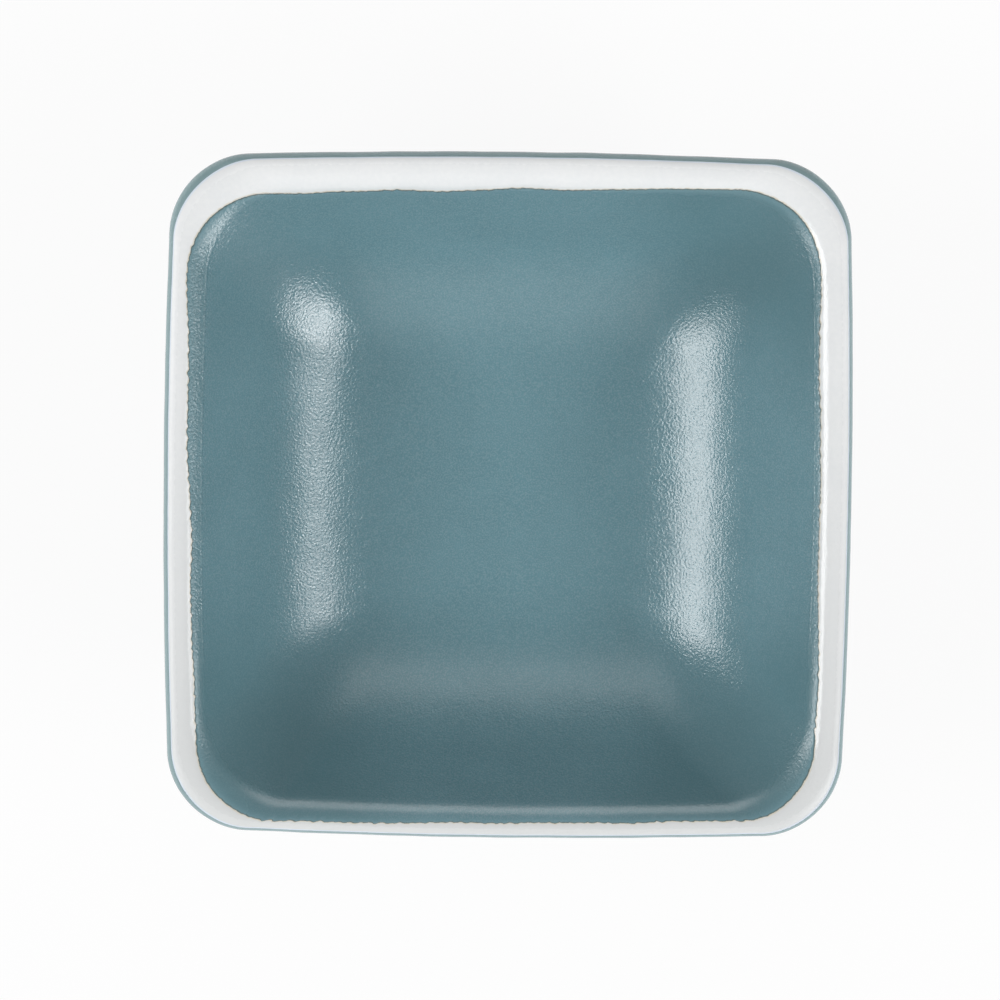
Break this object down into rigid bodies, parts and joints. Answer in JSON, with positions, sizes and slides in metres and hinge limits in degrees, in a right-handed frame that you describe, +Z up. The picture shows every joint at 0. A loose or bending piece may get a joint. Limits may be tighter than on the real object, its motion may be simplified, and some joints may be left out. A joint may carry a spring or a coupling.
{
  "type": "soy sauce dish",
  "caption": "Small square sauce dish of glazed stoneware with a deep coved well, a wiped white lip and a low foot ring, for soy sauce or another condiment.",
  "frame": {"origin": "middle of the foot ring, on the table the dish stands on", "axes": "+Z up out of the well, +Y to the back of the dish, where the white band on the lip is widest, +X to its right"},
  "size_m": [0.09, 0.09, 0.026],
  "materials": {
    "bare_clay": "matte",
    "teal_glaze": "satin",
    "white_glaze": "gloss"
  },
  "bodies": {
    "root": {"clay_body": "bare_clay", "well_glaze": "teal_glaze", "lip_glaze": "white_glaze", "outer_glaze": "teal_glaze", "base_glaze": "teal_glaze"}
  },
  "joints": []
}
